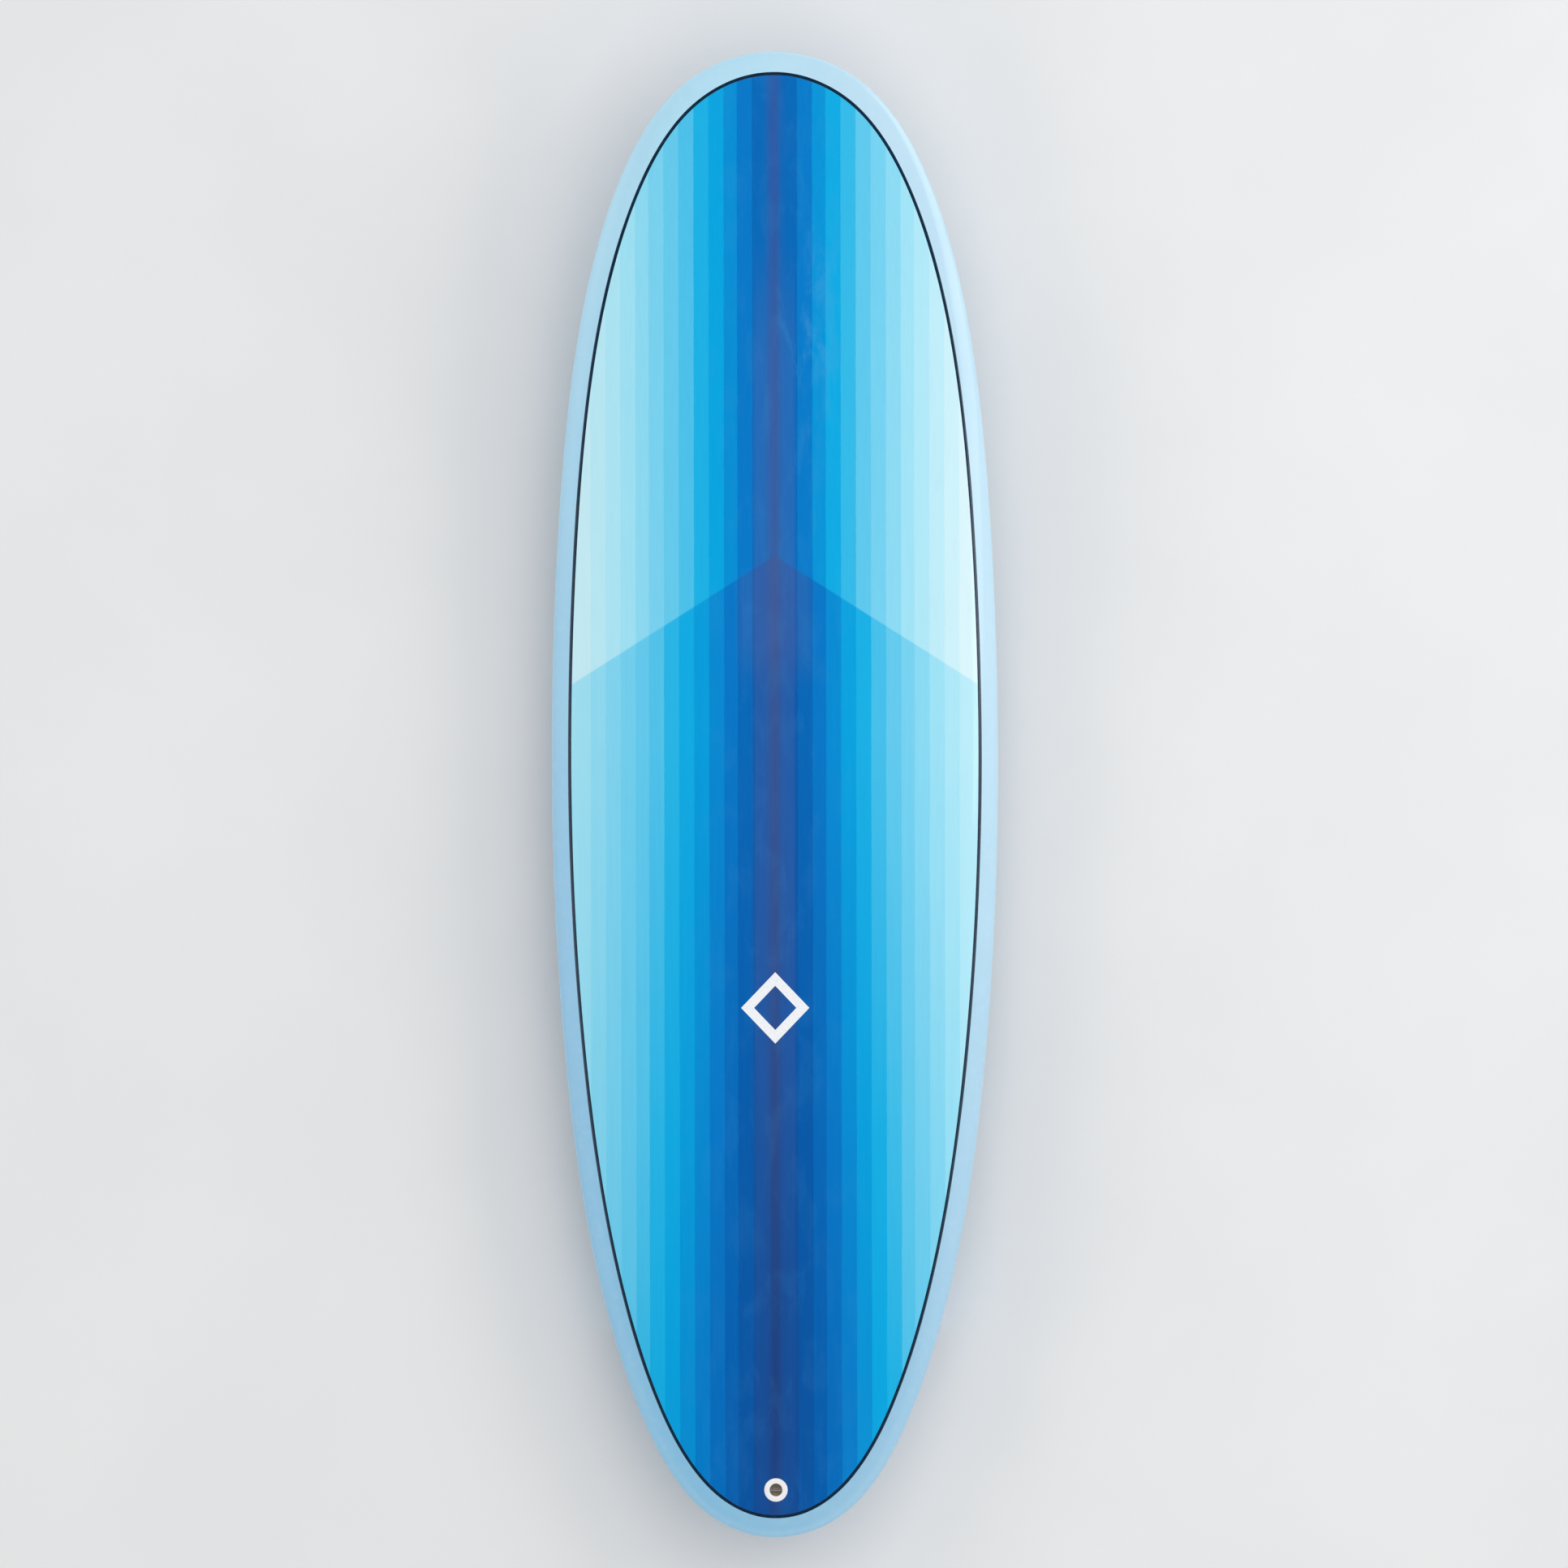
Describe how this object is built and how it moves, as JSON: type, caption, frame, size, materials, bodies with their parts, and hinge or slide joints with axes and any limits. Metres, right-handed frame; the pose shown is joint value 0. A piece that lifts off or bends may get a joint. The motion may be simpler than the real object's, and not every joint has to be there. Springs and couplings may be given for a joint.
{
  "type": "shortboard surfboard",
  "caption": "Rounded glass-fibre surfboard with a striped cloth deck inlay, dark pinline, tinted rails, recessed leash plug and removable fins held by set screws.",
  "frame": {"origin": "on the bottom skin, on the centreline at half length, where the hull is lowest", "axes": "+Y to the nose along the stringer, +X to the right seen from above the deck, +Z out of the deck"},
  "size_m": [0.5506, 1.8292, 0.2195],
  "materials": {
    "foam": "matt closed-cell foam",
    "spruce": "thin sawn strip",
    "glass_bottom": "pale blue tinted resin over glass cloth, polished",
    "glass_rail": "pale blue tinted resin over glass cloth, polished",
    "inlay": "striped printed cloth under clear gloss resin",
    "pin": "dark resin line under gloss",
    "mark": "white printed tissue under gloss",
    "cup": "white moulded",
    "steel": "bright stainless",
    "box": "white moulded",
    "fin": "blue tinted layered glass fibre, polished"
  },
  "bodies": {
    "board": {"foam_core_left": "foam", "foam_core_right": "foam", "stringer": "spruce", "bottom_laminate": "glass_bottom", "rail_band": "glass_rail", "deck_fabric_inlay": "inlay", "pinline": "pin", "deck_decal": "mark", "leash_plug_cup": "cup", "leash_plug_pin": "steel", "fin_box_left": "box", "fin_box_right": "box", "fin_box_center": "box"},
    "fin_left": {"fin_left": "fin"},
    "grub_left_front": {"grub_left_front": "steel"},
    "grub_left_rear": {"grub_left_rear": "steel"},
    "fin_right": {"fin_right": "fin"},
    "grub_right_front": {"grub_right_front": "steel"},
    "grub_right_rear": {"grub_right_rear": "steel"},
    "fin_center": {"fin_center": "fin"},
    "grub_center_front": {"grub_center_front": "steel"},
    "grub_center_rear": {"grub_center_rear": "steel"}
  },
  "joints": [
    {"name": "fin_left_slide", "type": "slide", "parent": "board", "child": "fin_left", "axis": [-0.0894, -0.054, -0.9945], "range_m": [0, 0.02]},
    {"name": "grub_left_front_turn", "type": "hinge", "parent": "board", "child": "grub_left_front", "pos_m": [-0.18199, -0.53097, 0.0228], "axis": [-0.4202, 0.0684, 0.9048], "range_deg": [-1080, 0]},
    {"name": "grub_left_rear_turn", "type": "hinge", "parent": "board", "child": "grub_left_rear", "pos_m": [-0.18475, -0.60279, 0.02695], "axis": [-0.4202, 0.0684, 0.9048], "range_deg": [-1080, 0]},
    {"name": "fin_right_slide", "type": "slide", "parent": "board", "child": "fin_right", "axis": [0.0894, -0.054, -0.9945], "range_m": [0, 0.02]},
    {"name": "grub_right_front_turn", "type": "hinge", "parent": "board", "child": "grub_right_front", "pos_m": [0.18199, -0.53097, 0.0228], "axis": [0.4202, 0.0684, 0.9048], "range_deg": [-1080, 0]},
    {"name": "grub_right_rear_turn", "type": "hinge", "parent": "board", "child": "grub_right_rear", "pos_m": [0.18475, -0.60279, 0.02695], "axis": [0.4202, 0.0684, 0.9048], "range_deg": [-1080, 0]},
    {"name": "fin_center_slide", "type": "slide", "parent": "board", "child": "fin_center", "axis": [0, -0.0886, -0.9961], "range_m": [0, 0.02]},
    {"name": "grub_center_front_turn", "type": "hinge", "parent": "board", "child": "grub_center_front", "pos_m": [0.0049, -0.72853, 0.0349], "axis": [-0.5, 0.0767, 0.8626], "range_deg": [-1080, 0]},
    {"name": "grub_center_rear_turn", "type": "hinge", "parent": "board", "child": "grub_center_rear", "pos_m": [0.0049, -0.80025, 0.04128], "axis": [-0.5, 0.0767, 0.8626], "range_deg": [-1080, 0]}
  ]
}
